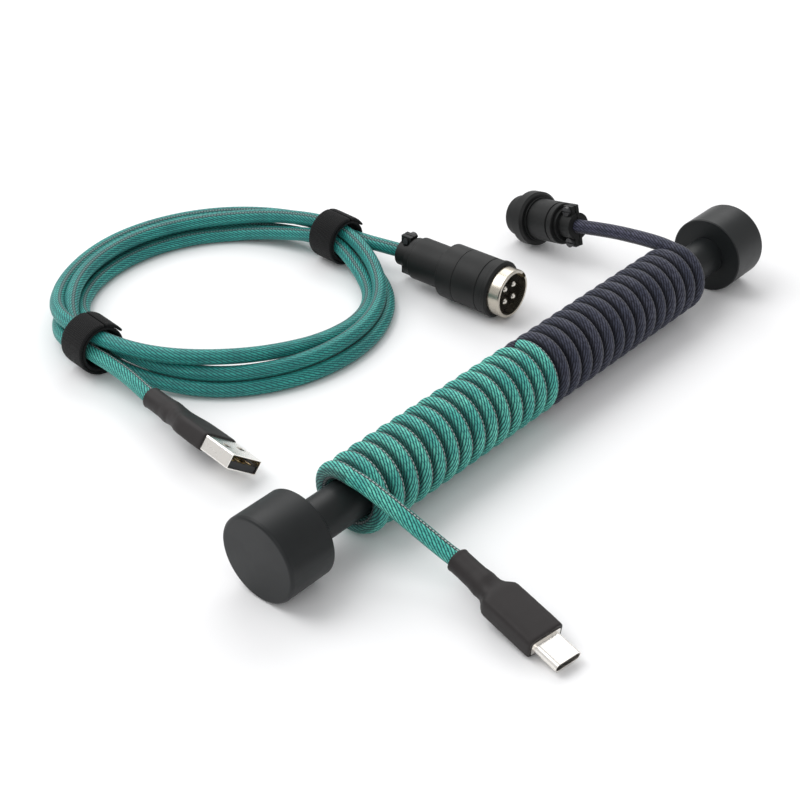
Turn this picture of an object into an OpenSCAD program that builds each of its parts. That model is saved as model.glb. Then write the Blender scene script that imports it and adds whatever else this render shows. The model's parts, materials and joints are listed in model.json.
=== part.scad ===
// Custom keyboard cable set: a coiled two-colour cable on a barbell stand,
// and a straight cable tied in a loop. All sizes are in millimetres.

/* [Barbell] */
// Overall length of the barbell over both caps
bar_length = 218; // [200:1:280]
// Diameter of the end caps that the barbell stands on
cap_d = 24.5; // [23:0.5:30]
// Length of each end cap
cap_length = 15; // [12:0.5:20]
// Radius of the rounded outer rim of each cap
cap_round = 0.9; // [0.3:0.1:2.5]
// Diameter of the rod that carries the coil
rod_d = 12; // [10:0.5:14.5]
// Thread diameter of the studs that hold the caps
stud_d = 6; // [4:0.5:8]
// Length of each stud inside the rod
stud_in_rod = 9; // [8:0.5:14]
// Length of each stud inside its cap
stud_in_cap = 7.5; // [5:0.5:9]

/* [Cable] */
// Outer diameter of the sleeved cable
cable_d = 4.8; // [4:0.1:5.8]

/* [Coil] */
// Place of the coil's near end along the rod
coil_near_x = -79.7; // [-81:0.1:-78]
// Length of the teal half of the coil
coil_teal_length = 80.7; // [60:0.1:81]
// Length of the navy half of the coil
coil_navy_length = 77.5; // [60:0.1:79]

/* [USB-C plug] */
// Width of the metal shell
usbc_w = 8.34; // [8:0.02:9]
// Thickness of the metal shell
usbc_t = 2.56; // [2.4:0.02:3]
// Length of shell that stands out of the boot
usbc_exposed = 7.8; // [6:0.1:9]
// Width of the boot's flat body
usbc_body_w = 11.2; // [10.8:0.1:14]
// Thickness of the boot's flat body
usbc_body_t = 6.2; // [6:0.1:8]
// Length of the boot's flat body
usbc_body_length = 17.2; // [16:0.1:21]
// Length of the boot's neck, up to the flat body
usbc_neck_length = 14; // [12:0.1:16]

/* [USB-A plug] */
// Width of the metal shell
usba_w = 12; // [11.8:0.1:12.4]
// Thickness of the metal shell
usba_t = 4.5; // [4.4:0.1:5.4]
// Length of shell that stands out of the boot
usba_exposed = 11.8; // [10:0.1:14]
// Length of the boot's wedge-shaped body
usba_body_length = 20.3; // [19:0.1:26]
// Length of the boot's neck, up to the body
usba_neck_length = 10.4; // [9:0.1:14]

/* [Aviator connectors] */
// Diameter of the coupling thread
thread_d = 16; // [15.4:0.1:17]
// Outer diameter of the wide barrel with the pins
barrel_d = 18; // [17.8:0.1:22]
// Outer diameter of the neck and of the barrel with the sockets
neck_d = 14; // [13:0.1:14.6]
// Outer diameter of the coupling nut
nut_d = 18.4; // [18:0.1:18.6]
// Length of the coupling nut
nut_length = 5.2; // [4.5:0.1:6]
// Diameter of each contact pin
pin_d = 1.9; // [1.4:0.1:2.2]
// Radius of the circle that the four pins stand on
pin_circle_r = 3.1; // [2.7:0.1:3.6]

/* [Loop and ties] */
// Mean radius of the tied loop
loop_r = 50; // [48:0.1:52]
// Width of the bundle of turns in the loop
bundle_w = 11.4; // [10:0.1:12.5]
// Height of the bundle of turns in the loop
bundle_h = 12.4; // [10:0.1:13]
// Outer diameter of each hook-and-loop tie
tie_d = 16.8; // [16:0.1:18]
// Width of each tie along the cable
tie_w = 10.5; // [8:0.1:14]
// Thickness of one layer of the tie
tie_layer = 1.1; // [0.8:0.1:1.4]

/* [Hidden] */
$fn = 64;
eps = 0.01;

// Clearances, all radial
run_clear = 0.05;
seat_clear = 0.02;
coil_clear = 0.3;

// Barbell
axis_z = cap_d / 2;
cap_inner_x = bar_length / 2 - cap_length;
stud_end_gap = 1;

// Coil: one layer of cable on the rod
coil_bore_r = rod_d / 2 + coil_clear;
coil_outer_r = coil_bore_r + cable_d;
coil_split_x = coil_near_x + coil_teal_length;
coil_far_x = coil_split_x + coil_navy_length;

// How far each lead runs on inside its boot or clamp
lead_inside = 8;

// Places of the four connectors: the point where the cable enters,
// then turn about the own axis, dip and heading in degrees
usbc_at = [-73, -33.6, 8.3];
usbc_turn = [0, 9.2, -98.4];
usba_turn = [-38, 1.5, -95.5];
navy_at = [79.3, 40.5, 14.95];
navy_turn = [0, 14, 80];
teal_at = [35.9, 79.9, 9.35];
teal_turn = [0, 0, -88.3];

// The loop and its ties
loop_at = [-17.5, 107.7, 0];
function on_loop(angle, r) = loop_at + [r * cos(angle), r * sin(angle), tie_d / 2 + 0.05];
left_tie_at = on_loop(172.9, loop_r);
left_tie_heading = -96;
right_tie_at = on_loop(-3.2, loop_r - 2);
right_tie_heading = -93;
tie_bore_r = tie_d / 2 - 2 * tie_layer;

// Routes of the leads, from the coil or loop to the connector
usbc_route = [
  [-77.3, -1, 20.9], [-76.8, -6, 20.1], [-76.1, -11, 18.2], [-75.3, -16, 15.9],
  [-74.5, -21, 13.4], [-73.7, -26, 11], [-73.2, -30, 9.3]
];
navy_route = [
  [76.1, 1, 21], [76.7, 7, 21], [77.4, 13, 20.3], [78.1, 19, 19.3],
  [78.7, 25, 18.2], [79, 31, 17], [79.2, 36, 15.9]
];
usba_route = [
  [-69.3, 117, 8], [-69.5, 111, 7.9], [-70, 105, 7.8], [-70.8, 99, 7.7],
  [-71.8, 93, 7.6], [-72.9, 87, 7.5]
];
aviator_route = [
  [32.4, 110, 8.5], [32.8, 105, 8.5], [33.2, 99, 8.7], [33.9, 93, 9], [34.9, 87, 9.2]
];

function unit(v) = v / norm(v);
function heading(turn) = [
  cos(turn[1]) * cos(turn[2]), cos(turn[1]) * sin(turn[2]), -sin(turn[1])
];
function run_into(route, at, turn) = concat(route, [at, at + lead_inside * heading(turn)]);

// Rings of a tube round a route, and the faces that join them
function ring_at(pts, i, d, sides) =
  let (ahead = pts[min(i + 1, len(pts) - 1)])
  let (behind = pts[max(i - 1, 0)])
  let (along = unit(ahead - behind))
  let (side = unit(cross(along, [0, 0, 1])))
  let (up = cross(side, along))
  [for (k = [0 : sides - 1])
    pts[i] + d / 2 * (cos(360 * k / sides) * side + sin(360 * k / sides) * up)];

module cord_tube(pts, d, sides = 10) {
  rings = [for (i = [0 : len(pts) - 1]) each ring_at(pts, i, d, sides)];
  last = (len(pts) - 1) * sides;
  walls = [for (i = [0 : len(pts) - 2]) for (k = [0 : sides - 1])
    let (n = (k + 1) % sides)
    [i * sides + k, i * sides + n, (i + 1) * sides + n, (i + 1) * sides + k]];
  near_end = [for (k = [sides - 1 : -1 : 0]) k];
  far_end = [for (k = [0 : sides - 1]) last + k];
  polyhedron(points = rings, faces = concat(walls, [near_end, far_end]), convexity = 4);
}

// Place a connector modelled along +X from where the cable enters
module placed(at, turn) {
  translate(at) rotate(turn) children();
}

// A straight round bar along +X from x0 to x1
module bar_x(x0, x1, r) {
  translate([x0, 0, 0]) rotate([0, 90, 0]) cylinder(h = x1 - x0, r = r);
}

// A straight round bar between two points
module bar_between(p, q, r) {
  v = q - p;
  translate(p)
    rotate([0, acos(v[2] / norm(v)), atan2(v[1], v[0])])
      cylinder(h = norm(v), r = r, $fn = 24);
}

// Turn a profile of [along X, radius] points about the X axis
module turned(profile) {
  rotate([90, 0, 90]) rotate_extrude()
    polygon([for (p = profile) [p[1], p[0]]]);
}

// Part of a ring about the X axis, from angle a0 to a1 measured from +Y
module ring_part(r0, r1, w, a0, a1) {
  rotate([90, 0, 90]) rotate([0, 0, a0])
    rotate_extrude(angle = a1 - a0)
      translate([r0, -w / 2]) square([r1 - r0, w]);
}

// A bar along +X with a section that has fully round sides
module stadium_x(x0, x1, w, t) {
  translate([x0, 0, 0]) rotate([90, 0, 90]) linear_extrude(x1 - x0) {
    square([w - t, t], center = true);
    for (s = [-1, 1]) translate([s * (w - t) / 2, 0]) circle(d = t);
  }
}

// A bar along +X with a rectangular section and rounded corners
module rounded_x(x0, x1, w, t, r) {
  translate([x0, 0, 0]) rotate([90, 0, 90]) linear_extrude(x1 - x0) {
    square([w - 2 * r, t], center = true);
    square([w, t - 2 * r], center = true);
    for (sy = [-1, 1]) for (sz = [-1, 1])
      translate([sy * (w / 2 - r), sz * (t / 2 - r)]) circle(r = r, $fn = 32);
  }
}

// ---- Barbell ----
module barbell_rod() {
  color("#1b1c1e")
    translate([0, 0, axis_z]) difference() {
      bar_x(-cap_inner_x, cap_inner_x, rod_d / 2);
      for (s = [0, 180]) rotate([0, 0, s])
        bar_x(cap_inner_x - stud_in_rod - stud_end_gap, cap_inner_x + eps,
              stud_d / 2 + run_clear);
    }
}

module cap() {
  color("#1d1e20") difference() {
    turned([
      [0, 0], [0, cap_d / 2 - 0.3], [0.3, cap_d / 2],
      for (a = [0 : 22.5 : 90])
        [cap_length - cap_round * (1 - sin(a)), cap_d / 2 - cap_round * (1 - cos(a))],
      [cap_length, 0]
    ]);
    bar_x(-eps, stud_in_cap + stud_end_gap, stud_d / 2 + run_clear);
  }
}

module stud() {
  color("silver") bar_x(-stud_in_rod, stud_in_cap, stud_d / 2);
}

module at_far_end() {
  translate([cap_inner_x, 0, axis_z]) children();
}

module at_near_end() {
  translate([-cap_inner_x, 0, axis_z]) rotate([0, 0, 180]) children();
}

module near_cap() { at_near_end() cap(); }
module far_cap() { at_far_end() cap(); }
module near_stud() { at_near_end() stud(); }
module far_stud() { at_far_end() stud(); }

// ---- Coiled cable ----
module coil_half(x0, x1) {
  translate([0, 0, axis_z]) difference() {
    bar_x(x0, x1, coil_outer_r);
    bar_x(x0 - 1, x1 + 1, coil_bore_r);
  }
}

module coil_teal() {
  color("#2a9c8e") coil_half(coil_near_x, coil_split_x);
}

module coil_navy() {
  color("#33384a") coil_half(coil_split_x, coil_far_x);
}

module usbc_lead() {
  color("#2a9c8e") cord_tube(run_into(usbc_route, usbc_at, usbc_turn), cable_d);
}

module navy_lead() {
  color("#33384a") cord_tube(run_into(navy_route, navy_at, navy_turn), cable_d);
}

// ---- USB-C plug ----
usbc_front = usbc_neck_length + usbc_body_length;
usbc_tip = usbc_front + usbc_exposed;
usbc_wall = 0.3;
usbc_cavity_w = usbc_w + 1;
usbc_cavity_t = usbc_t + 1.4;
usbc_cavity_x = usbc_neck_length + 2;
usbc_shell_in = 5;
usbc_shell_x = usbc_front - usbc_shell_in;
usbc_slot_t = 0.9;
usbc_collar_depth = 1.2;
usbc_mouth_step = 0.9;
boot_neck_r = cable_d / 2 + 0.7;

module usbc_boot() {
  color("#202022") placed(usbc_at, usbc_turn) difference() {
    union() {
      bar_x(0, usbc_neck_length - 4, boot_neck_r);
      hull() {
        bar_x(usbc_neck_length - 6, usbc_neck_length - 5, boot_neck_r, $fn = 32);
        stadium_x(usbc_neck_length - 3, usbc_neck_length - 1.5, boot_neck_r * 2 + 1.4,
                  boot_neck_r * 2 - 0.4);
      }
      hull() {
        stadium_x(usbc_neck_length - 3, usbc_neck_length - 1.5, boot_neck_r * 2 + 1.4,
                  boot_neck_r * 2 - 0.4);
        rounded_x(usbc_neck_length + 0.6, usbc_neck_length + 1.4, usbc_body_w, usbc_body_t, 2);
      }
      rounded_x(usbc_neck_length + 1, usbc_front, usbc_body_w, usbc_body_t, 2);
    }
    bar_x(-eps, usbc_cavity_x + eps, cable_d / 2 + run_clear);
    rounded_x(usbc_cavity_x, usbc_front + eps, usbc_cavity_w, usbc_cavity_t, 0.8);
  }
}

module usbc_collar() {
  color("#b9b6b0") placed(usbc_at, usbc_turn) difference() {
    rounded_x(usbc_front - usbc_collar_depth, usbc_front + 0.3,
              usbc_cavity_w - 2 * seat_clear, usbc_cavity_t - 2 * seat_clear, 0.8 - seat_clear);
    stadium_x(usbc_front - usbc_collar_depth - 1, usbc_front + 1,
              usbc_w + 2 * seat_clear, usbc_t + 2 * seat_clear);
  }
}

module usbc_shell() {
  color("#cfccc6") placed(usbc_at, usbc_turn) difference() {
    stadium_x(usbc_shell_x, usbc_tip, usbc_w, usbc_t);
    stadium_x(usbc_shell_x - 1, usbc_tip + 1, usbc_w - 2 * usbc_wall, usbc_t - 2 * usbc_wall);
  }
}

module usbc_liner() {
  w = usbc_w - 2 * usbc_wall - 2 * seat_clear;
  t = usbc_t - 2 * usbc_wall - 2 * seat_clear;
  color("#151516") placed(usbc_at, usbc_turn) difference() {
    stadium_x(usbc_shell_x, usbc_tip - usbc_mouth_step, w, t);
    translate([usbc_shell_x + 3, -w / 2 + 0.5, -usbc_slot_t / 2])
      cube([usbc_tip, w - 1, usbc_slot_t]);
  }
}

module usbc_contacts() {
  pitch = 0.5;
  thick = 0.12;
  color("#c9a64b") placed(usbc_at, usbc_turn)
    for (side = [-1, 1]) for (k = [-5.5 : 1 : 5.5])
      translate([usbc_tip - 6, k * pitch - 0.13,
                 side > 0 ? usbc_slot_t / 2 - thick : -usbc_slot_t / 2])
        cube([4.4, 0.26, thick]);
}

module usbc_board() {
  color("#1f5a3a") placed(usbc_at, usbc_turn)
    translate([usbc_cavity_x + 1, -usbc_w / 2 + 0.2, -0.4])
      cube([usbc_shell_x - usbc_cavity_x - 1.2, usbc_w - 0.4, 0.8]);
}

// ---- USB-A plug ----
usba_front = usba_neck_length + usba_body_length;
usba_tip = usba_front + usba_exposed;
usba_wall = 0.3;
usba_skin = 0.55;
usba_shell_in = 6;
usba_shell_x = usba_front - usba_shell_in;
usba_cavity_x = usba_front - 14;
usba_tongue_t = 1.9;
usba_mouth_step = 0.6;

// The plug lies on its lower edge, rolled over, so its height follows its size
usba_rest_z = 0.26 - (usba_w / 2 + usba_skin) * sin(usba_turn[0])
  + (usba_t / 2 + usba_skin) * cos(usba_turn[0]);
usba_at = [-74.2, 79.2, usba_rest_z + usba_front * sin(usba_turn[1])];

module usba_boot() {
  w = usba_w + 2 * usba_skin;
  t = usba_t + 2 * usba_skin;
  color("#222224") placed(usba_at, usba_turn) difference() {
    union() {
      bar_x(0, usba_neck_length - 2, boot_neck_r);
      hull() {
        bar_x(usba_neck_length - 4, usba_neck_length - 3, boot_neck_r, $fn = 32);
        stadium_x(usba_neck_length, usba_neck_length + 2, boot_neck_r * 2 + 1.8,
                  boot_neck_r * 2 + 0.4);
      }
      hull() {
        stadium_x(usba_neck_length, usba_neck_length + 2, boot_neck_r * 2 + 1.8,
                  boot_neck_r * 2 + 0.4);
        rounded_x(usba_cavity_x + 1, usba_cavity_x + 2, w, t, 1);
      }
      rounded_x(usba_cavity_x + 1.5, usba_front, w, t, 1);
    }
    bar_x(-eps, usba_cavity_x + eps, cable_d / 2 + run_clear);
    rounded_x(usba_cavity_x, usba_front + eps, usba_w + 2 * seat_clear,
              usba_t + 2 * seat_clear, 0.5 + seat_clear);
  }
}

module usba_shell() {
  color("#d2cfc9") placed(usba_at, usba_turn) difference() {
    rounded_x(usba_shell_x, usba_tip, usba_w, usba_t, 0.5);
    rounded_x(usba_shell_x - 1, usba_tip + 1, usba_w - 2 * usba_wall,
              usba_t - 2 * usba_wall, 0.3);
    for (s = [-1, 1])
      translate([usba_tip - 7.3, s * 2.9 - 1.1, -usba_t])
        cube([2.2, 2.2, 2 * usba_t]);
  }
}

module usba_tongue() {
  w = usba_w - 2 * usba_wall - 0.6;
  color("#141415") placed(usba_at, usba_turn)
    translate([usba_shell_x, -w / 2, -usba_t / 2 + usba_wall + seat_clear])
      cube([usba_tip - usba_mouth_step - usba_shell_x, w, usba_tongue_t]);
}

module usba_contacts() {
  face_z = -usba_t / 2 + usba_wall + seat_clear + usba_tongue_t;
  color("#c9a64b") placed(usba_at, usba_turn)
    for (y = [-3.5, -1, 1, 3.5])
      translate([usba_tip - 8.5, y - 0.5, face_z])
        cube([7.2, 1, 0.15]);
}

module usba_board() {
  color("#1f5a3a") placed(usba_at, usba_turn)
    translate([usba_cavity_x + 0.6, -usba_w / 2 + 0.8, -0.5])
      cube([usba_shell_x - usba_cavity_x - 0.8, usba_w - 1.6, 1]);
}

// ---- Pieces that both aviator connectors share ----
clamp_length = 5;
clamp_r = cable_d / 2 + 2.1;
clamp_gap = 0.3;
ear_out = neck_d / 2;
ear_t = 1.4;
clamp_screw_d = 2;
clamp_screw_z = cable_d / 2 + 3;
clamp_screw_x = clamp_length / 2;
screw_head_d = 3.2;

// One half of the strain clamp, on the +Y side
module clamp_half() {
  difference() {
    union() {
      intersection() {
        bar_x(0, clamp_length, clamp_r);
        translate([0, clamp_gap / 2, -clamp_r]) cube([clamp_length, clamp_r, 2 * clamp_r]);
      }
      for (s = [-1, 1])
        translate([0.5, clamp_gap / 2, s > 0 ? cable_d / 2 + 0.8 : -ear_out])
          cube([clamp_length - 1, ear_t, ear_out - cable_d / 2 - 0.8]);
    }
    bar_x(-1, clamp_length + 1, cable_d / 2 + run_clear);
    for (s = [-1, 1]) translate([clamp_screw_x, -1, s * clamp_screw_z])
      rotate([-90, 0, 0]) {
        cylinder(h = clamp_r + 2, d = clamp_screw_d + 2 * seat_clear);
        translate([0, 0, 1 + clamp_gap / 2 + ear_t])
          cylinder(h = clamp_r, d = screw_head_d + 2 * seat_clear);
      }
  }
}

module clamp_screws() {
  for (s = [-1, 1]) translate([clamp_screw_x, 0, s * clamp_screw_z]) rotate([-90, 0, 0]) {
    translate([0, 0, -clamp_gap / 2 - ear_t - 0.6])
      cylinder(h = clamp_gap + 2 * ear_t + 0.6, d = clamp_screw_d);
    difference() {
      translate([0, 0, clamp_gap / 2 + ear_t]) cylinder(h = 1.2, d = screw_head_d);
      translate([-screw_head_d, -0.25, clamp_gap / 2 + ear_t + 0.7])
        cube([2 * screw_head_d, 0.5, 1]);
    }
  }
}

// Places of the four contacts, in the plane across the connector
function contact_at(k, turn) =
  pin_circle_r * [0, cos(turn + 90 * k), sin(turn + 90 * k)];

module four_contacts(turn) {
  for (k = [0 : 3]) translate(contact_at(k, turn)) children();
}

module wires(x1, turn) {
  start_r = cable_d / 4;
  for (k = [0 : 3])
    bar_between([lead_inside + 0.3, 0, 0] + start_r / pin_circle_r * contact_at(k, turn),
                [x1, 0, 0] + contact_at(k, turn), 0.5);
}

// ---- Aviator connector with sockets, on the navy lead ----
navy_shell_end = 18.6;
navy_nose = 29.3;
navy_insert_x = 20;
navy_wall = 0.8;
navy_contact_turn = 45;
socket_r = pin_d / 2 + seat_clear + 0.25;
nut_x = navy_shell_end + 0.15;
nut_lip = 1.2;

module navy_back_shell() {
  r = neck_d / 2;
  color("#1e1f21") placed(navy_at, navy_turn) {
    turned([
      [clamp_length, cable_d / 2 + 0.3], [clamp_length, r - 1.3], [6.3, r - 1.3],
      [6.3, r - 0.2], [6.5, r], [8.3, r], [8.5, r - 0.4], [8.9, r - 0.4], [9.1, r],
      [navy_shell_end - 0.7, r], [navy_shell_end - 0.7, r + 0.5],
      [navy_shell_end, r + 0.5], [navy_shell_end, r - 1.4],
      [lead_inside + 2, r - 1.4], [lead_inside, cable_d / 2 + 0.3]
    ]);
    mirror([0, 1, 0]) clamp_half();
  }
}

module navy_clamp_bar() {
  color("#1e1f21") placed(navy_at, navy_turn) clamp_half();
}

module navy_clamp_screws() {
  color("#3a3b3d") placed(navy_at, navy_turn) clamp_screws();
}

module navy_front_sleeve() {
  r = neck_d / 2;
  flange_x = nut_x + nut_lip + 0.15;
  color("#1e1f21") placed(navy_at, navy_turn) turned([
    [navy_shell_end, r - navy_wall], [navy_shell_end, r], [flange_x, r],
    [flange_x, r + 0.5], [flange_x + 0.8, r + 0.5], [flange_x + 0.8, r],
    [navy_nose - 0.9, r], [navy_nose - 0.3, r - 0.25], [navy_nose, r - navy_wall]
  ]);
}

module navy_coupling_nut() {
  ro = nut_d / 2;
  lip_r = neck_d / 2 + run_clear;
  x1 = nut_x + nut_length;
  color("#1b1c1e") placed(navy_at, navy_turn) turned([
    [nut_x, lip_r], [nut_x, ro - 0.8], [nut_x + 0.8, ro], [x1 - 0.8, ro],
    [x1, ro - 0.8], [x1, thread_d / 2], [nut_x + nut_lip, thread_d / 2],
    [nut_x + nut_lip, lip_r]
  ]);
}

module navy_insert() {
  color("#101011") placed(navy_at, navy_turn) difference() {
    bar_x(navy_insert_x, navy_nose - 0.6, neck_d / 2 - navy_wall - seat_clear);
    four_contacts(navy_contact_turn)
      bar_x(navy_insert_x - 1, navy_nose + 1, socket_r + seat_clear);
  }
}

module navy_sockets() {
  color("#c9a64b") placed(navy_at, navy_turn) four_contacts(navy_contact_turn)
    difference() {
      bar_x(navy_insert_x - 0.5, navy_nose - 0.9, socket_r);
      bar_x(navy_insert_x + 1, navy_nose, pin_d / 2 + seat_clear);
    }
}

module navy_wires() {
  color("#8a8f98") placed(navy_at, navy_turn)
    wires(navy_insert_x - 0.55, navy_contact_turn);
}

// ---- Aviator connector with pins, on the straight cable ----
teal_neck_end = 19;
teal_seam = 26.6;
teal_ring_x = 36;
teal_ring_end = 40.6;
teal_rim = 44.8;
teal_insert_x = 31;
teal_insert_face = 38.6;
teal_contact_turn = 45;
key_turn = 38;
key_w = 2.4;
ring_wall = 1;

module teal_back_shell() {
  r = neck_d / 2 + 0.1;
  ro = barrel_d / 2;
  color("#1e1f21") placed(teal_at, teal_turn) {
    turned([
      [clamp_length, cable_d / 2 + 0.3], [clamp_length, r - 0.8], [7.2, r - 0.8],
      [7.2, r - 0.2], [7.5, r], [teal_neck_end, r], [teal_neck_end + 1.4, ro],
      [teal_seam, ro], [teal_seam, thread_d / 2 - 0.4],
      [teal_neck_end + 2, thread_d / 2 - 0.4], [teal_neck_end, r - 1.4],
      [lead_inside + 2, r - 1.4], [lead_inside, cable_d / 2 + 0.3]
    ]);
    mirror([0, 1, 0]) clamp_half();
  }
}

module teal_clamp_bar() {
  color("#1e1f21") placed(teal_at, teal_turn) clamp_half();
}

module teal_clamp_screws() {
  color("#3a3b3d") placed(teal_at, teal_turn) clamp_screws();
}

module teal_middle_sleeve() {
  ro = barrel_d / 2;
  ri = thread_d / 2 + seat_clear;
  color("#1e1f21") placed(teal_at, teal_turn) turned([
    [teal_seam, ri], [teal_seam, ro - 0.2], [teal_seam + 0.2, ro],
    [teal_ring_x - 0.2, ro], [teal_ring_x, ro - 0.2], [teal_ring_x, ri]
  ]);
}

module teal_front_ring() {
  ro = barrel_d / 2 + 0.3;
  ri = thread_d / 2 + seat_clear;
  color("#19191b") placed(teal_at, teal_turn) turned([
    [teal_ring_x, ri], [teal_ring_x, ro - 0.5], [teal_ring_x + 0.3, ro - 0.3],
    [teal_ring_end - 2, ro - 0.3], [teal_ring_end - 1.7, ro], [teal_ring_end - 0.6, ro],
    [teal_ring_end, ro - 0.6], [teal_ring_end, ri]
  ]);
}

module teal_thread_ring() {
  r = thread_d / 2;
  color("#c4bfb4") placed(teal_at, teal_turn) difference() {
    turned([
      [teal_seam + 0.5, r - ring_wall], [teal_seam + 0.5, r], [teal_rim - 0.3, r],
      [teal_rim, r - 0.3], [teal_rim, r - ring_wall]
    ]);
    rotate([key_turn, 0, 0]) translate([teal_rim - 2.6, r - ring_wall - 0.5, -key_w / 2])
      cube([3, 0.5 + ring_wall * 0.7, key_w]);
  }
}

module teal_insert() {
  color("#101011") placed(teal_at, teal_turn) difference() {
    bar_x(teal_insert_x, teal_insert_face, thread_d / 2 - ring_wall - seat_clear);
    four_contacts(teal_contact_turn)
      bar_x(teal_insert_x - 1, teal_insert_face + 1, pin_d / 2 + seat_clear);
  }
}

module teal_pins() {
  color("#d8d3c6") placed(teal_at, teal_turn) four_contacts(teal_contact_turn)
    turned([
      [teal_insert_x - 2, 0], [teal_insert_x - 2, pin_d / 2], [teal_rim - 1.4, pin_d / 2],
      [teal_rim - 1, pin_d / 2 - 0.4], [teal_rim - 1, 0]
    ]);
}

module teal_wires() {
  color("#8a8f98") placed(teal_at, teal_turn)
    wires(teal_insert_x - 2.05, teal_contact_turn);
}

// ---- Straight cable ----
module tie_gap(at, turn) {
  placed(at, [0, 0, turn]) difference() {
    bar_x(-tie_w / 2 - 0.1, tie_w / 2 + 0.1, tie_d);
    bar_x(-tie_w, tie_w, tie_bore_r - seat_clear);
  }
}

module cable_loop() {
  c = 3.2;
  r0 = loop_r - bundle_w / 2;
  r1 = loop_r + bundle_w / 2;
  z0 = 0.1;
  z1 = z0 + bundle_h;
  color("#2a9c8e") difference() {
    translate(loop_at) rotate_extrude($fn = 128) polygon([
      [r0 + c, z0], [r1 - c, z0], [r1, z0 + c], [r1, z1 - c],
      [r1 - c, z1], [r0 + c, z1], [r0, z1 - c], [r0, z0 + c]
    ]);
    tie_gap(left_tie_at, left_tie_heading);
    tie_gap(right_tie_at, right_tie_heading);
  }
}

module usba_lead() {
  color("#2a9c8e") cord_tube(run_into(usba_route, usba_at, usba_turn), cable_d);
}

module aviator_lead() {
  color("#2a9c8e") cord_tube(run_into(aviator_route, teal_at, teal_turn), cable_d);
}

// ---- Hook-and-loop ties ----
tail_root = 79;
tail_lift = 45;
tail_gap = 1;
tail_end = 3.8;
layer_end = 352;

module tie_band() {
  ro = tie_d / 2;
  mid = tie_bore_r + tie_layer;
  union() {
    difference() {
      bar_x(-tie_w / 2, tie_w / 2, mid);
      bar_x(-tie_w, tie_w, tie_bore_r);
    }
    ring_part(mid - eps, ro, tie_w, tail_root + tail_gap, layer_end);
  }
}

module tie_tail() {
  r0 = tie_bore_r + tie_layer + run_clear;
  ring_part(r0, tie_d / 2, tie_w, tail_lift, tail_root);
  rotate([tail_lift, 0, 0]) translate([-tie_w / 2, r0, -tail_end])
    cube([tie_w, tie_d / 2 - r0, tail_end + eps]);
}

module left_tie_band() {
  color("#161617") placed(left_tie_at, [0, 0, left_tie_heading]) tie_band();
}

module left_tie_tail() {
  color("#161617") placed(left_tie_at, [0, 0, left_tie_heading]) tie_tail();
}

module right_tie_band() {
  color("#161617") placed(right_tie_at, [0, 0, right_tie_heading]) tie_band();
}

module right_tie_tail() {
  color("#161617") placed(right_tie_at, [0, 0, right_tie_heading]) tie_tail();
}

barbell_rod();
near_cap();
far_cap();
near_stud();
far_stud();
coil_teal();
coil_navy();
usbc_lead();
navy_lead();
usbc_boot();
usbc_collar();
usbc_shell();
usbc_liner();
usbc_contacts();
usbc_board();
navy_back_shell();
navy_clamp_bar();
navy_clamp_screws();
navy_front_sleeve();
navy_coupling_nut();
navy_insert();
navy_sockets();
navy_wires();
teal_back_shell();
teal_clamp_bar();
teal_clamp_screws();
teal_middle_sleeve();
teal_front_ring();
teal_thread_ring();
teal_insert();
teal_pins();
teal_wires();
cable_loop();
usba_lead();
aviator_lead();
usba_boot();
usba_shell();
usba_tongue();
usba_contacts();
usba_board();
left_tie_band();
left_tie_tail();
right_tie_band();
right_tie_tail();
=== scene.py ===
import json
from math import sin, cos, pi, radians, copysign

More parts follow.
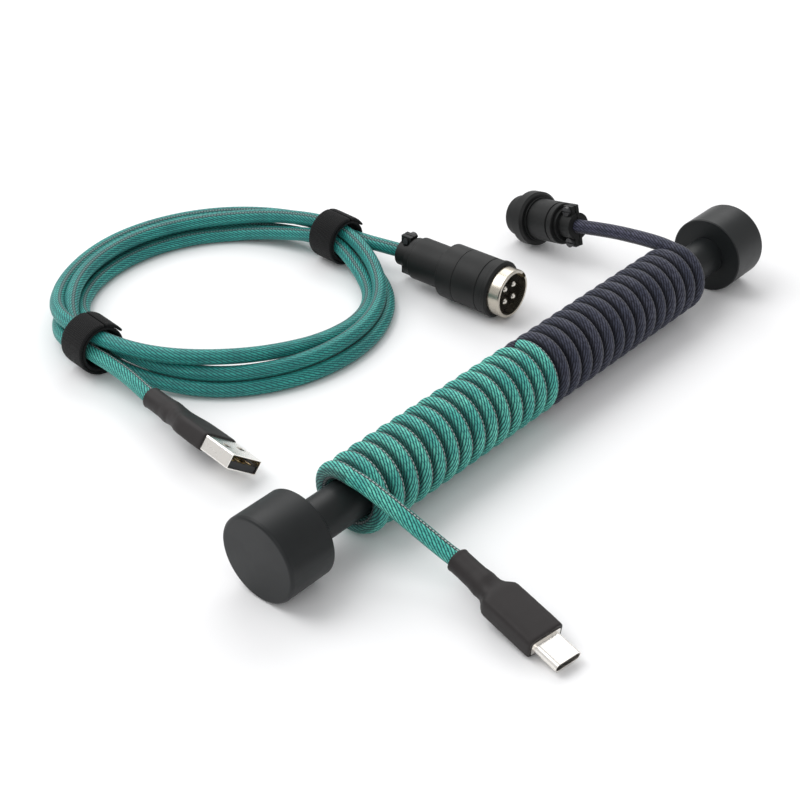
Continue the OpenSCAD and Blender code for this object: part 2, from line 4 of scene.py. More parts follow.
import bmesh
import bpy
from mathutils import Matrix, Vector, noise
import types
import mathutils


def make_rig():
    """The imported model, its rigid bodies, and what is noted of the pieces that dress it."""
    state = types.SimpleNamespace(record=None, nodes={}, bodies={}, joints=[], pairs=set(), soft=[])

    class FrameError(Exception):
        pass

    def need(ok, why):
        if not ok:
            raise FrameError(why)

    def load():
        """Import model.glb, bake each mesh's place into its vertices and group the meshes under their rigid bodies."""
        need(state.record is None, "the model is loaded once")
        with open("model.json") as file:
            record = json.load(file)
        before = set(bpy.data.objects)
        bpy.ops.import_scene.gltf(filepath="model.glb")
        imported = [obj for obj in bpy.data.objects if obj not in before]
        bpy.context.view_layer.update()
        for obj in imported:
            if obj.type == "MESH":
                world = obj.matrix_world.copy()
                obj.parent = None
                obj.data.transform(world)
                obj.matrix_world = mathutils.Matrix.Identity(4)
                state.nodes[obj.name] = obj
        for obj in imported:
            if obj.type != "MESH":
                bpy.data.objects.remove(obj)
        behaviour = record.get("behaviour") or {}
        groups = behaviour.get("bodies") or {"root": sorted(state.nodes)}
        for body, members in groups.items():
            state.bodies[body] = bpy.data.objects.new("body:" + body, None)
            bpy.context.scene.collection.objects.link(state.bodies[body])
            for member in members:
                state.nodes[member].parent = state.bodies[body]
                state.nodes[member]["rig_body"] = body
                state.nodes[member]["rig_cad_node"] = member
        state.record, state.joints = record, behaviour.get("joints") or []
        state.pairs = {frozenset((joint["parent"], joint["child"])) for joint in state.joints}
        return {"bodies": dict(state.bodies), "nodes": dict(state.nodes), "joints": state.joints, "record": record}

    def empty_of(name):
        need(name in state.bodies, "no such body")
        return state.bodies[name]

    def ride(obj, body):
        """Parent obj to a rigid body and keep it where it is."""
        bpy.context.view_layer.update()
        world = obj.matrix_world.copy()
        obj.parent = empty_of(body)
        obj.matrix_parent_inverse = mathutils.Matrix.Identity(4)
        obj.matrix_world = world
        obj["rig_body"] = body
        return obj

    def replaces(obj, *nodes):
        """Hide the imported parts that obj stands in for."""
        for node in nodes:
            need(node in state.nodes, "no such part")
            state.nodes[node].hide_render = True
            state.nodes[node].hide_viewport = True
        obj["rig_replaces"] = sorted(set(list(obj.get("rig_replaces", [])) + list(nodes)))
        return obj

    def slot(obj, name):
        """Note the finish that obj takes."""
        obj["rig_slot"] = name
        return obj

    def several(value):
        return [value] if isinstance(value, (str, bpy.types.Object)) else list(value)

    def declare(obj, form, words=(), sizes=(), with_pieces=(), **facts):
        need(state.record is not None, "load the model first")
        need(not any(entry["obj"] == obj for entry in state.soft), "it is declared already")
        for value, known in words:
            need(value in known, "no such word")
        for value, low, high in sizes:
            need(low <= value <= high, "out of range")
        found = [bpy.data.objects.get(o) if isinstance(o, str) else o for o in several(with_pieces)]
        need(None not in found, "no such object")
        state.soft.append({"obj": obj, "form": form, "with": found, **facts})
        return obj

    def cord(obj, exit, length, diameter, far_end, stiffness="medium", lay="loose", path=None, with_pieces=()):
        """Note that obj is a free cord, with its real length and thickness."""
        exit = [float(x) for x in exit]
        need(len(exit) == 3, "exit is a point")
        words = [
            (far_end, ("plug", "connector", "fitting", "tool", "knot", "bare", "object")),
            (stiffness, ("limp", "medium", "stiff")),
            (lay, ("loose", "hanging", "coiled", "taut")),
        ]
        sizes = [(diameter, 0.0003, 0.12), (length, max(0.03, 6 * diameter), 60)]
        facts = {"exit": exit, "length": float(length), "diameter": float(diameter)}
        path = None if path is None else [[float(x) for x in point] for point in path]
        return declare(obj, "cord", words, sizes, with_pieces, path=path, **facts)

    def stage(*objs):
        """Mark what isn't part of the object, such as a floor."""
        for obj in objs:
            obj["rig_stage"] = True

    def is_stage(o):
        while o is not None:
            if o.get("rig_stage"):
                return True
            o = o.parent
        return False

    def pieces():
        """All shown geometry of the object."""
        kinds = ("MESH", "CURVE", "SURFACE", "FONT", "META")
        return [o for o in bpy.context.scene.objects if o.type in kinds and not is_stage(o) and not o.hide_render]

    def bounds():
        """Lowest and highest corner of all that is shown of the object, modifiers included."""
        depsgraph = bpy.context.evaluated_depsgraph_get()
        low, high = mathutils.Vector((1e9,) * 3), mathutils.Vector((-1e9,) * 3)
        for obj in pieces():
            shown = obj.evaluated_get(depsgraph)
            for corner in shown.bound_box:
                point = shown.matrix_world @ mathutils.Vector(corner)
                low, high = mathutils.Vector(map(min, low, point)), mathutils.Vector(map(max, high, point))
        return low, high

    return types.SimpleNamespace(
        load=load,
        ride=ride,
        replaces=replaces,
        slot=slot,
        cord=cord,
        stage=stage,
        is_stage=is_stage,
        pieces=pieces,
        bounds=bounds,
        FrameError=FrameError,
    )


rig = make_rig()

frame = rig.load()
nodes = frame["nodes"]
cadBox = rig.bounds()
mm = 0.001
cameraPlace = {
    "eye": (-0.29647, -0.2141, 0.25037),
    "heading": (0.7467, 0.6652),
    "tiltDown": 34.107,
    "roll": -0.495,
    "lens": 68.2,
}


def placeCamera(spec):
    hx, hy = spec["heading"]
    tilt = radians(spec["tiltDown"])
    roll = radians(spec["roll"])
    ahead = Vector((cos(tilt) * hx, cos(tilt) * hy, -sin(tilt))).normalized()
    right = Vector((hy, -hx, 0)).normalized()
    up = right.cross(ahead)
    side = cos(roll) * right + sin(roll) * up
    top = -sin(roll) * right + cos(roll) * up
    turn = Matrix((side, top, -ahead)).transposed().to_4x4()
    lens = bpy.data.cameras.new("camera")
    lens.lens = spec["lens"]
    lens.sensor_width = 36
    lens.clip_start = 0.01
    lens.dof.use_dof = False
    camera = bpy.data.objects.new("camera", lens)
    camera.matrix_world = Matrix.Translation(spec["eye"]) @ turn
    bpy.context.scene.collection.objects.link(camera)
    bpy.context.scene.camera = camera
    return camera


placeCamera(cameraPlace)
print("camera placed")


def tint(red, green, blue):  # display colour, 0 to 255, as linear values
    def one(c):
        c = c / 255
        return c / 12.92 if c <= 0.04045 else ((c + 0.055) / 1.055) ** 2.4
    return (one(red), one(green), one(blue), 1)


def placeAt(at, turn):  # millimetres, and degrees about x, y and z
    dip = [radians(a) for a in turn]
    return (Matrix.Translation(Vector(at) * mm)
            @ Matrix.Rotation(dip[2], 4, "Z") @ Matrix.Rotation(dip[1], 4, "Y")
            @ Matrix.Rotation(dip[0], 4, "X"))


def addPiece(name, bm, materials, smooth=True):
    mesh = bpy.data.meshes.new(name)
    bm.to_mesh(mesh)
    bm.free()
    for m in materials:
        mesh.materials.append(m)
    if smooth:
        mesh.shade_smooth()
    piece = bpy.data.objects.new(name, mesh)
    bpy.context.scene.collection.objects.link(piece)
    return piece


# a skin grown ring by ring: pointAt places each corner, uvAt maps it, slotAt picks a face's material
def ringSkin(stepCount, sides, pointAt, uvAt, slotAt=None, closedRun=False, capEnds=True):
    bm = bmesh.new()
    around = bm.verts.layers.float.new("around")
    along = bm.verts.layers.float.new("along")
    first = bmesh.ops.create_circle(bm, segments=sides, radius=1)["verts"]
    for k, v in enumerate(first):
        v[around] = k / sides
        v[along] = 0
        v.co = pointAt(0, k / sides)
    rim = bm.edges[:]
    startRim = rim
    for step in range(1, stepCount):
        grown = bmesh.ops.extrude_edge_only(bm, edges=rim)["geom"]
        rim = [g for g in grown if isinstance(g, bmesh.types.BMEdge) and g.is_boundary]
        for v in grown:
            if isinstance(v, bmesh.types.BMVert):
                v[along] = step
                v.co = pointAt(step, v[around])
    if closedRun:
        bmesh.ops.bridge_loops(bm, edges=startRim + rim)
    uv = bm.loops.layers.uv.new("UVMap")
    for f in bm.faces:
        turns = [c.vert[around] for c in f.loops]
        steps = [c.vert[along] for c in f.loops]
        seam = max(turns) - min(turns) > 0.5
        joinRow = max(steps) - min(steps) > 1.5
        for c in f.loops:
            a = c.vert[around] + (1 if seam and c.vert[around] < 0.5 else 0)
            s = c.vert[along] + (stepCount if joinRow and c.vert[along] < 0.5 else 0)
            c[uv].uv = uvAt(s, a)
        if slotAt:
            f.material_index = slotAt(min(steps))
    if capEnds and not closedRun:
        bmesh.ops.edgeloop_fill(bm, edges=startRim)
        bmesh.ops.edgeloop_fill(bm, edges=rim)
    bmesh.ops.recalc_face_normals(bm, faces=bm.faces[:])
    return bm


def curvePoint(pts, i, t):  # a point on the smooth curve through pts, between i and i + 1
    a = pts[max(i - 1, 0)]
    b = pts[i]
    c = pts[i + 1]
    d = pts[min(i + 2, len(pts) - 1)]
    ta = max((b - a).length, 1e-6) ** 0.5
    tb = max((c - b).length, 1e-6) ** 0.5
    tc = max((d - c).length, 1e-6) ** 0.5
    still = Vector((0, 0, 0))
    mb = (c - b) + (tb * ((b - a) / ta - (c - a) / (ta + tb)) if (b - a).length > 1e-6 else still)
    mc = (c - b) + (tb * ((d - c) / tc - (d - b) / (tb + tc)) if (d - c).length > 1e-6 else still)
    h = t * t * (3 - 2 * t)
    return b * (1 - h) + c * h + mb * (t * (1 - t) ** 2) - mc * (t * t * (1 - t))


def smoothRun(pts, spacing):  # evenly spaced points on the smooth curve through pts
    fine = []
    for i in range(len(pts) - 1):
        n = max(4, int((pts[i + 1] - pts[i]).length / (spacing * 0.25)))
        fine += [curvePoint(pts, i, k / n) for k in range(n)]
    fine.append(pts[-1])
    total = sum((fine[i + 1] - fine[i]).length for i in range(len(fine) - 1))
    count = max(2, round(total / spacing))
    step = total / count
    run = [fine[0]]
    walked, want = 0, step
    for i in range(len(fine) - 1):
        span = (fine[i + 1] - fine[i]).length
        while span > 0 and walked + span >= want - 1e-9 and len(run) < count:
            run.append(fine[i].lerp(fine[i + 1], (want - walked) / span))
            want += step
        walked += span
    run.append(fine[-1])
    return run, total


class Nodes:  # short words for building one node tree
    def __init__(self, tree):
        self.tree = tree

    def add(self, kind, **values):
        node = self.tree.nodes.new(kind)
        for k, v in values.items():
            setattr(node, k, v)
        return node

    def put(self, socket, value):
        if isinstance(value, bpy.types.NodeSocket):
            self.tree.links.new(value, socket)
        else:
            socket.default_value = value

    def math(self, kind, a, b=0.0, c=0.0):
        node = self.add("ShaderNodeMath", operation=kind)
        for k, v in enumerate((a, b, c)):
            self.put(node.inputs[k], v)
        return node.outputs[0]

    def span(self, value, low, high, toLow=0.0, toHigh=1.0):
        node = self.add("ShaderNodeMapRange", clamp=True, interpolation_type="SMOOTHSTEP")
        for k, v in enumerate((value, low, high, toLow, toHigh)):
            self.put(node.inputs[k], v)
        return node.outputs[0]

    def mix(self, share, a, b):
        node = self.add("ShaderNodeMix", data_type="RGBA")
        self.put(node.inputs[0], share)
        self.put(node.inputs[6], a)
        self.put(node.inputs[7], b)
        return node.outputs[2]

    def noise(self, where, scale, detail=3.0, rough=0.5):
        node = self.add("ShaderNodeTexNoise")
        self.put(node.inputs["Vector"], where)
        self.put(node.inputs["Scale"], scale)
        self.put(node.inputs["Detail"], detail)
        self.put(node.inputs["Roughness"], rough)
        return node.outputs[0]

    def place(self, kind="Object"):
        return self.add("ShaderNodeTexCoord").outputs[kind]

    def split(self, vector):
        node = self.add("ShaderNodeSeparateXYZ")
        self.put(node.inputs[0], vector)
        return node.outputs

    def join(self, x, y, z=0.0):
        node = self.add("ShaderNodeCombineXYZ")
        for k, v in enumerate((x, y, z)):
            self.put(node.inputs[k], v)
        return node.outputs[0]

    def bump(self, height, strength, distance):
        node = self.add("ShaderNodeBump")
        node.inputs["Strength"].default_value = strength
        node.inputs["Distance"].default_value = distance
        self.put(node.inputs["Height"], height)
        return node.outputs[0]

    def group(self, tree, **values):
        node = self.add("ShaderNodeGroup")
        node.node_tree = tree
        for k, v in values.items():
            self.put(node.inputs[k], v)
        return node.outputs


def newGroup(name, inputs, outputs):
    tree = bpy.data.node_groups.new(name, "ShaderNodeTree")
    for label, kind, start in inputs:
        s = tree.interface.new_socket(label, in_out="INPUT", socket_type="NodeSocket" + kind)
        if start is not None:
            s.default_value = start
    for label, kind in outputs:
        tree.interface.new_socket(label, in_out="OUTPUT", socket_type="NodeSocket" + kind)
    n = Nodes(tree)
    return tree, n, n.add("NodeGroupInput").outputs, n.add("NodeGroupOutput").inputs


def newMaterial(name, **constants):
    mat = bpy.data.materials.new(name)
    mat.use_nodes = True
    n = Nodes(mat.node_tree)
    shader = mat.node_tree.nodes["Principled BSDF"]
    for k, v in constants.items():
        shader.inputs[k.replace("_", " ")].default_value = v
    return mat, n, shader.inputs


def makeBraid():
    tree, n, given, out = newGroup(
        "braidedYarn",
        [("UV", "Vector", None), ("Yarns", "Float", 13.0), ("Lay", "Float", 9.0),
         ("Cross", "Float", 0.5), ("Tracer", "Float", 0.1), ("Spread", "Float", 0.43)],
        [("Rib", "Float"), ("GapShade", "Float"), ("White", "Float"), ("Dark", "Float"), ("GrooveShade", "Float")])
    u, v, _ = n.split(given["UV"])  # u is once round the cord, v is in girths along it
    drift = n.noise(n.join(n.math("MULTIPLY", u, 5.0), n.math("MULTIPLY", v, 2.6)), 1.6, 2.0)
    wobble = n.math("MULTIPLY", n.math("SUBTRACT", drift, 0.5), 0.5)
    across = n.math("ADD", n.math("MULTIPLY", u, given["Yarns"]), wobble)
    slant = n.math("MULTIPLY", v, given["Lay"])
    right = n.math("ADD", across, slant)
    left = n.math("SUBTRACT", across, slant)
    sumOfYarns = n.math("ADD", n.math("FLOOR", right), n.math("FLOOR", left))
    under = n.math("GREATER_THAN", n.math("FLOORED_MODULO", sumOfYarns, 4.0), 1.5)  # two over, two under
    ribA = n.math("ABSOLUTE", n.math("SINE", n.math("MULTIPLY", right, pi)))
    ribB = n.math("ABSOLUTE", n.math("SINE", n.math("MULTIPLY", left, pi)))
    stagger = n.math("ADD", left, n.math("FLOOR", right))
    floatA = n.math("ABSOLUTE", n.math("SINE", n.math("MULTIPLY", stagger, pi / 2)))
    over = n.math("MULTIPLY", n.math("POWER", ribA, 0.7), n.math("MULTIPLY_ADD", floatA, 0.25, 0.75))
    crossing = n.math("MULTIPLY", ribA, n.math("POWER", ribB, 0.6))
    below = n.math("MULTIPLY", crossing, n.math("MULTIPLY_ADD", given["Cross"], 0.7, 0.3))
    share = n.math("MULTIPLY", under, given["Cross"])
    n.put(out["Rib"], n.math("MULTIPLY_ADD", n.math("SUBTRACT", below, over), share, over))
    cover = n.math("MULTIPLY_ADD", n.math("SUBTRACT", ribB, 1.0), share, 1.0)
    # painted shade: marks the low gaps between yarns
    n.put(out["GapShade"], n.span(n.math("MULTIPLY", ribA, cover), 0.0, 0.5, 1.0, 0.0))

    def away(turn):  # how far round the cord from a given place, 0 to half a turn
        part = n.math("FRACT", n.math("ADD", n.math("SUBTRACT", u, turn), 0.5))
        return n.math("ABSOLUTE", n.math("SUBTRACT", part, 0.5))

    first = given["Tracer"]
    off = n.math("MINIMUM", away(first), away(n.math("SUBTRACT", first, given["Spread"])))  # two threads
    bead = n.span(n.math("SINE", n.math("MULTIPLY", v, 2 * pi * 15.0)), -0.75, 0.1)
    n.put(out["White"], n.math("MULTIPLY", bead, n.span(off, 0.01, 0.024, 1.0, 0.0)))
    n.put(out["Dark"], n.span(off, 0.03, 0.048, 1.0, 0.0))
    # painted shade: darkens the sides of each coil strand, away from its outward face, where it dips into the shaded
    # groove between turns
    n.put(out["GrooveShade"], n.span(away(0.0), 0.07, 0.2))
    return tree


braidedYarn = makeBraid()


yarnHeight = 0.00022


def makeSleeveMaterial(name, look):
    mat, n, shader = newMaterial(name, Sheen_Weight=look["sheen"], Sheen_Roughness=0.4,
                                 Specular_IOR_Level=look["specular"])
    uv = n.place("UV")
    g = n.group(braidedYarn, UV=uv, Yarns=look["yarns"], Lay=look["lay"], Cross=look["cross"],
                Tracer=look["tracer"])
    fleck = n.noise(n.place(), 900.0, 2.0)
    patch = n.noise(n.place(), 120.0, 2.0)
    light = n.mix(n.span(patch, 0.35, 0.65), look["light"], look["lightAlt"])
    raised = n.math("MULTIPLY_ADD", n.math("SUBTRACT", fleck, 0.5), look["fleck"], g["Rib"])
    # partly the darker under-yarns of the weave and random fleck, partly painted shade at each yarn's low edges and
    # painted highlight at its crest
    yarn = n.mix(n.span(raised, 0.25, 0.98), look["deep"], light)
    # painted shade: the low gaps between yarns darken towards a shaded copy of the sleeve colour
    yarn = n.mix(n.math("MULTIPLY", g["GapShade"], look["gapShadeShare"]), yarn, look["gapShadeColour"])
    yarn = n.mix(n.math("MULTIPLY", g["Dark"], look["darkShare"]), yarn, look["darkThread"])
    yarn = n.mix(n.math("MULTIPLY", g["White"], look["whiteShare"]), yarn, look["whiteThread"])
    # painted shade: the coil strand's sides darken towards the grooves between turns
    yarn = n.mix(n.math("MULTIPLY", g["GrooveShade"], look["grooveShadeShare"]), yarn, look["grooveShadeColour"])
    n.put(shader["Base Color"], yarn)
    n.put(shader["Roughness"], n.span(g["Rib"], 0.0, 1.0, look["roughHigh"], look["roughLow"]))
    height = n.math("ADD", g["Rib"], n.math("MULTIPLY", g["White"], 0.5))
    n.put(shader["Normal"], n.bump(height, look["relief"], yarnHeight))
    return mat


tealLook = {
    # the light colours carry a painted crest highlight and the deep colour a painted shade, over the sleeve's own teal
    "light": tint(112, 222, 200), "lightAlt": tint(82, 196, 180), "deep": tint(8, 94, 98),
    # the gap colour and share on the next line are painted shade between yarns
    "gapShadeColour": tint(2, 44, 48), "gapShadeShare": 0.85, "darkThread": tint(18, 26, 30), "darkShare": 0.9,
    "whiteThread": tint(196, 204, 204), "whiteShare": 0.85, "fleck": 0.25,
    # the strand-side share and colour on the next line are painted shade in the grooves between coil turns
    "yarns": 17.0, "lay": 9.4, "cross": 0.45, "tracer": 0.075, "grooveShadeShare": 0.65, "grooveShadeColour": tint(4, 40, 44),
    "sheen": 0.05, "specular": 0.4, "roughHigh": 0.75, "roughLow": 0.42, "relief": 0.9,
}
tealLeadLook = dict(tealLook, cross=0.35, grooveShadeShare=0.0, tracer=0.045)
tealLoopLook = dict(
    tealLook, lay=-9.0, light=tint(46, 166, 155), lightAlt=tint(36, 146, 138), deep=tint(5, 82, 86),
    gapShadeColour=tint(4, 66, 68), gapShadeShare=0.45, whiteShare=0.42, darkShare=0.6, relief=0.5, tracer=-0.07,
    specular=0.5, grooveShadeShare=0.0, whiteThread=tint(150, 175, 175))
tealTailLook = dict(
    tealLeadLook, lay=-9.4, tracer=-0.06, light=tint(84, 190, 174), lightAlt=tint(64, 170, 158))
# the navy coil keeps the painted groove shade, in a darker navy shade colour
navyLook = dict(
    tealLook, lay=-9.4, grooveShadeColour=tint(10, 10, 14), light=tint(76, 78, 94), lightAlt=tint(60, 64, 82),
    deep=tint(26, 28, 42), gapShadeColour=tint(12, 12, 20), gapShadeShare=0.5, whiteThread=tint(120, 118, 126),
    whiteShare=0.6,
    darkThread=tint(14, 14, 20), darkShare=0.6, cross=0.5, fleck=1.0, sheen=0.1, specular=0.25,
    relief=0.7)
navyLeadLook = dict(navyLook, cross=0.7, grooveShadeShare=0.0, light=tint(76, 76, 98))

tealCoilMat = makeSleeveMaterial("tealCoilYarn", tealLook)
tealLeadMat = makeSleeveMaterial("tealLeadYarn", tealLeadLook)
tealLoopMat = makeSleeveMaterial("tealLoopYarn", tealLoopLook)
tealTailMat = makeSleeveMaterial("tealTailYarn", tealTailLook)
navyCoilMat = makeSleeveMaterial("navyCoilYarn", navyLook)
navyLeadMat = makeSleeveMaterial("navyLeadYarn", navyLeadLook)
print("sleeve materials made")


cordSize = {
    "diameter": 4.8, "leadRadius": 2.32, "loopRadius": 2.36, "coilOut": 2.4, "coilAlong": 2.26, "sides": 20,
    "leadStep": 1.0,
}
coilPlan = {
    "nearX": -77.3, "pitch": 5.48, "radius": 8.7, "axisZ": 12.25, "turns": 28.0, "changeTurn": 14.07,
    "perTurn": 44, "blendBefore": 6, "blendSteps": 14,
}
inBoot = 5  # how far each cord's end goes on inside its plug, in millimetres
places = {  # where each plug begins, and how it is turned
    "usbC": ((-73, -33.6, 8.3), (0, 9.2, -98.4)),
    "usbA": ((-74.2, 79.2, 7.3), (-38, 1.5, -95.5)),
    "navyPlug": ((79.3, 40.5, 14.95), (0, 14, 80)),
    "tealPlug": ((35.9, 79.9, 9.35), (0, 0, -88.3)),
}
usbCLead = [(-77.3, -1, 20.9), (-76.8, -6, 20.1), (-76.1, -11, 18.2), (-75.3, -16, 15.9),
            (-74.5, -21, 13.4), (-73.7, -26, 11), (-73.2, -30, 9.3)]
navyLead = [(76.1, 1, 21), (76.7, 7, 21), (77.4, 13, 20.3), (78.1, 19, 19.3),
            (78.7, 25, 18.2), (79, 31, 17), (79.2, 36, 15.9)]
usbALead = [(-70.7, 108, 7.9), (-70.8, 103, 7.8), (-71.2, 98, 7.7), (-71.9, 92, 7.6), (-73, 86, 7.5)]
plugLead = [(34.9, 87, 9.2), (34, 93, 9), (33.7, 99, 8.7)]


def inPlace(name, x, y=0.0, z=0.0):
    return placeAt(*places[name]) @ (Vector((x, y, z)) * mm)


def coilAt(turn):  # a point of the coil's middle line, by turns from its near end
    a = 2 * pi * turn
    return Vector((coilPlan["nearX"] + coilPlan["pitch"] * turn, coilPlan["radius"] * sin(a),
                   coilPlan["axisZ"] + coilPlan["radius"] * cos(a))) * mm


def makeCoilCord(name, fromTurn, toTurn, lead, plug, materials):
    perTurn = coilPlan["perTurn"]
    count = max(2, round(abs(toTurn - fromTurn) * perTurn))
    path = [coilAt(fromTurn + (toTurn - fromTurn) * k / count) for k in range(count)]
    coilSteps = len(path)
    knots = [coilAt(toTurn)] + [Vector(p) * mm for p in lead[1:]]
    knots += [inPlace(plug, 0), inPlace(plug, inBoot)]
    tail, _ = smoothRun(knots, cordSize["leadStep"] * mm)
    path += tail
    sense = 1 if toTurn > fromTurn else -1
    frames = []
    out = None
    for i, p in enumerate(path):
        ahead = (path[min(i + 1, len(path) - 1)] - path[max(i - 1, 0)]).normalized()
        if i < coilSteps:
            centre = Vector((p.x, 0, coilPlan["axisZ"] * mm))
            out = (p - centre).normalized()
        out = (out - ahead * out.dot(ahead)).normalized()
        frames.append((out, ahead.cross(out).normalized() * sense))
    lengths = [0.0]
    for i in range(1, len(path)):
        lengths.append(lengths[-1] + (path[i] - path[i - 1]).length)
    girth = pi * cordSize["diameter"] * mm

    def pointAt(step, around):
        out, side = frames[step]
        free = (step - coilSteps + coilPlan["blendBefore"]) / coilPlan["blendSteps"]
        free = min(1.0, max(0.0, free))
        rOut = cordSize["coilOut"] + (cordSize["leadRadius"] - cordSize["coilOut"]) * free
        rAlong = cordSize["coilAlong"] + (cordSize["leadRadius"] - cordSize["coilAlong"]) * free
        a = 2 * pi * around
        return path[step] + (out * cos(a) * rOut + side * sin(a) * rAlong) * mm

    def uvAt(s, a):
        return a, lengths[min(int(s), len(path) - 1)] / girth

    bm = ringSkin(len(path), cordSize["sides"], pointAt, uvAt, lambda s: 0 if s < coilSteps + 2 else 1)
    piece = addPiece(name, bm, materials)
    print(name, "length", round(lengths[-1], 4))
    return piece, path


loopPlan = {"centre": (-17.5, 107.7), "spacing": 1.8, "lowest": 2.46, "knotTurn": 7, "tailLength": 42}
loopPasses = [  # degrees round the loop, how far out, how high
    (-3.2, 51.5, 8.45), (8, 52.4, 8), (21, 53.3, 7.6), (48, 54.1, 7.3), (90, 54.1, 7.2),
    (131, 54.2, 7),
    (155, 53.1, 10.2), (172.9, 50.5, 11.8), (200, 48.2, 12), (225, 45.6, 11.1), (248, 43.9, 9.3),
    (270, 43.3, 6.9), (315, 45.1, 3.6), (335, 44.5, 5.4), (356.8, 44.7, 8.45),
    (381, 45.8, 5.2), (408, 47.4, 2.5), (450, 47.3, 2.5), (491, 47.2, 2.6), (515, 45, 5.6),
    (532.9, 46.65, 8.95),
    (560, 47, 7.4), (585, 47.9, 6.6), (630, 48.2, 6.7), (675, 48.5, 6.8), (695, 48.4, 9.2),
    (716.8, 48.1, 11.85),
    (741, 48.7, 10.1), (768, 49.3, 8), (810, 49.4, 7.8), (851, 49.6, 7.6), (875, 49.8, 6.2),
    (892.9, 49.5, 5.1),
    (920, 49.5, 3.4), (945, 50.1, 2.5), (990, 50.5, 2.5), (1035, 51, 2.5), (1055, 49.9, 3.4),
    (1076.8, 48.1, 5.05),
    (1101, 50.3, 3.4), (1128, 52.4, 2.5), (1170, 52.5, 2.5), (1211, 52.4, 2.5), (1235, 54.4, 4.9),
    (1252.9, 53.35, 7.95),
]


def loopPoints():
    knots = [Vector(k) for k in loopPasses]
    pts = []
    for i in range(len(knots) - 1):
        n = max(1, round((knots[i + 1].x - knots[i].x) / loopPlan["knotTurn"]))
        pts += [curvePoint(knots, i, k / n) for k in range(n)]
    pts.append(knots[-1])
    cx, cy = loopPlan["centre"]
    low = loopPlan["lowest"]  # keeps the sleeve off the floor
    return [Vector((cx + q.y * cos(radians(q.x)), cy + q.y * sin(radians(q.x)), max(q.z, low))) * mm
            for q in pts]


def makeStraightCord(name, materials):
    start = [inPlace("tealPlug", inBoot), inPlace("tealPlug", 0)] + [Vector(p) * mm for p in plugLead]
    end = [Vector(p) * mm for p in usbALead] + [inPlace("usbA", 0), inPlace("usbA", inBoot)]
    path, total = smoothRun(start + loopPoints() + end, loopPlan["spacing"] * mm)
    out = Vector((0, 0, 1))
    frames = []
    for i, p in enumerate(path):
        ahead = (path[min(i + 1, len(path) - 1)] - path[max(i - 1, 0)]).normalized()
        out = (out - ahead * out.dot(ahead)).normalized()
        frames.append((out, ahead.cross(out)))
    girth = pi * cordSize["diameter"] * mm
    step = total / (len(path) - 1)

    def pointAt(i, around):
        a = 2 * pi * around
        out, side = frames[i]
        return path[i] + (out * cos(a) + side * sin(a)) * cordSize["loopRadius"] * mm

    lastLoop = len(path) - round(loopPlan["tailLength"] * mm / step)
    bm = ringSkin(len(path), cordSize["sides"], pointAt, lambda s, a: (a, s * step / girth),
                  lambda s: 1 if s > lastLoop else 0)
    piece = addPiece(name, bm, materials)
    print(name, "length", round(total, 4))
    return piece, path


tealCord, tealPath = makeCoilCord(
    "tealCord", coilPlan["changeTurn"], 0, usbCLead, "usbC", [tealCoilMat, tealLeadMat])
navyCord, navyPath = makeCoilCord(
    "navyCord", coilPlan["changeTurn"], coilPlan["turns"], navyLead, "navyPlug", [navyCoilMat, navyLeadMat])
straightCord, straightPath = makeStraightCord("straightCord", [tealLoopMat, tealTailMat])

for piece, body, slot, replaced in (
        (tealCord, "coiled_cable", "teal_braid", ("coil_teal", "usbc_lead")),
        (navyCord, "coiled_cable", "navy_braid", ("coil_navy", "navy_lead")),
        (straightCord, "straight_cable", "teal_braid", ("cable_loop", "usba_lead", "aviator_lead"))):
    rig.ride(piece, body)
    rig.slot(piece, slot)
    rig.replaces(piece, *replaced)
print("cords made")


def makeGrain():  # fine blasted or moulded grain, with faint wide variation
    tree, n, given, out = newGroup(
        "fineGrain", [("Place", "Vector", None), ("Scale", "Float", 4000.0), ("Amount", "Float", 0.5)],
        [("Height", "Float"), ("Patch", "Float")])
    fine = n.noise(given["Place"], given["Scale"], 2.0, 0.6)
    wide = n.noise(given["Place"], 90.0, 3.0, 0.6)
    n.put(out["Height"], n.math("MULTIPLY", n.math("SUBTRACT", fine, 0.5), given["Amount"]))
    n.put(out["Patch"], n.span(wide, 0.3, 0.7))
    return tree


fineGrain = makeGrain()
plainLook = {"metallic": 0.0, "specular": 0.5, "scale": 4000.0, "grainDepth": 0.0001}


def makeSolid(name, look):
    look = dict(plainLook, **look)
    mat, n, shader = newMaterial(name, Metallic=look["metallic"], Specular_IOR_Level=look["specular"])
    g = n.group(fineGrain, Place=n.place(), Scale=look["scale"])
    n.put(shader["Base Color"], n.mix(g["Patch"], look["colour"], look["colourAlt"]))
    n.put(shader["Roughness"], n.span(g["Patch"], 0.0, 1.0, look["rough"] * 0.92, look["rough"] * 1.08))
    n.put(shader["Normal"], n.bump(g["Height"], look["relief"], look["grainDepth"]))
    return mat


blackAnodised = makeSolid("blackAnodised", {
    "colour": tint(18, 21, 22), "colourAlt": tint(22, 25, 26),
    "rough": 0.42, "specular": 0.32, "scale": 5200.0, "relief": 0.12})
blackMetal = makeSolid("blackMetal", {
    "colour": tint(20, 21, 21), "colourAlt": tint(25, 26, 26),
    "rough": 0.5, "specular": 0.28, "scale": 4200.0, "relief": 0.14})
heatShrink = makeSolid("heatShrink", {
    "colour": tint(40, 37, 37), "colourAlt": tint(46, 43, 43),
    "rough": 0.55, "specular": 0.25, "scale": 1500.0, "relief": 0.25})
plugSteel = makeSolid("plugSteel", {
    "colour": tint(248, 245, 240), "colourAlt": tint(243, 239, 233),
    "rough": 0.27, "metallic": 1.0, "scale": 2600.0, "relief": 0.04})
blackInsert = makeSolid("blackInsert", {
    "colour": tint(16, 16, 17), "colourAlt": tint(20, 20, 21),
    "rough": 0.5, "scale": 3000.0, "relief": 0.1})
